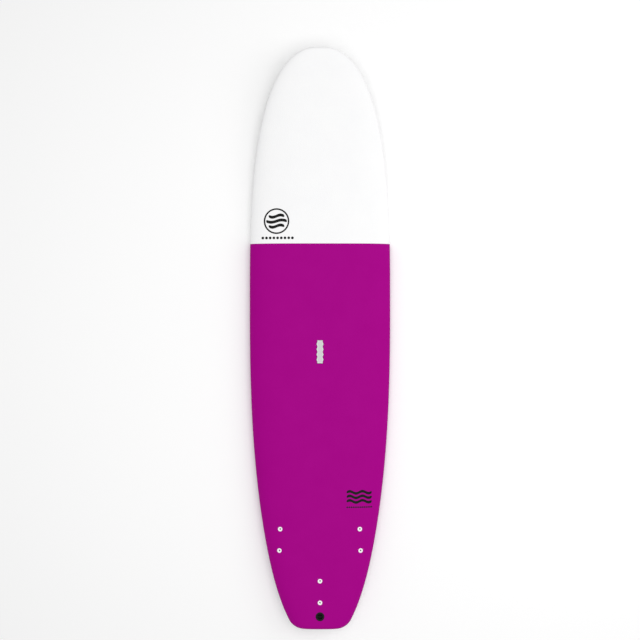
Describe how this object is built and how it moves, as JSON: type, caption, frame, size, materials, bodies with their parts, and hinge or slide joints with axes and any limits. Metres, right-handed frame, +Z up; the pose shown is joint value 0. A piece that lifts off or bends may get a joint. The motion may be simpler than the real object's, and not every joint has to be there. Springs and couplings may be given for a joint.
{
  "type": "surfboard",
  "caption": "Soft-top longboard with a foam core, wood stringers, soft deck, slick bottom, fin plugs, leash plug and carry strap.",
  "frame": {"origin": "midway between nose and tail on the centreline, level with the lowest point of the bottom", "axes": "+Y towards the nose, +X to the rider's right, +Z up out of the deck, with the board lying on its bottom"},
  "size_m": [0.597, 2.4379, 0.1336],
  "materials": {
    "eps_foam": "expanded polystyrene, beaded, matt",
    "stringer_wood": "planed softwood",
    "glass_laminate": "glass cloth in epoxy, sanded",
    "skin_white": "crosslinked foam skin, fine pebble grain, matt",
    "skin_magenta": "crosslinked foam skin, fine pebble grain, matt",
    "slick_white": "polyethylene sheet, smooth, semi-gloss",
    "plug_white": "moulded nylon, satin",
    "collar_grey": "moulded nylon, satin",
    "leash_black": "moulded nylon, satin",
    "tray_grey": "moulded polypropylene, matt",
    "strap_grey": "moulded thermoplastic rubber, matt",
    "rivet_black": "moulded nylon, satin"
  },
  "bodies": {
    "board": {"core_left": "eps_foam", "core_centre": "eps_foam", "core_right": "eps_foam", "stringer_left": "stringer_wood", "stringer_right": "stringer_wood", "deck_laminate": "glass_laminate", "bottom_laminate": "glass_laminate", "nose_skin": "skin_white", "main_skin": "skin_magenta", "bottom_slick": "slick_white", "fin_sleeve_left_front": "plug_white", "fin_sleeve_left_rear": "plug_white", "fin_sleeve_right_front": "plug_white", "fin_sleeve_right_rear": "plug_white", "fin_sleeve_centre_front": "plug_white", "fin_sleeve_centre_rear": "plug_white", "fin_collar_left_front": "collar_grey", "fin_collar_left_rear": "collar_grey", "fin_collar_right_front": "collar_grey", "fin_collar_right_rear": "collar_grey", "fin_collar_centre_front": "collar_grey", "fin_collar_centre_rear": "collar_grey", "leash_cup": "leash_black", "leash_pin": "leash_black", "leash_cap": "leash_black", "handle_tray": "tray_grey", "strap_end_front": "strap_grey", "strap_end_rear": "strap_grey", "strap_rivet_front": "rivet_black", "strap_rivet_rear": "rivet_black"},
    "grip": {"handle_grip": "strap_grey"}
  },
  "joints": [
    {"name": "handle_lift", "type": "slide", "parent": "board", "child": "grip", "axis": [0, 0, 1], "range_m": [0, 0.025], "stiffness_N_per_m": 200}
  ]
}
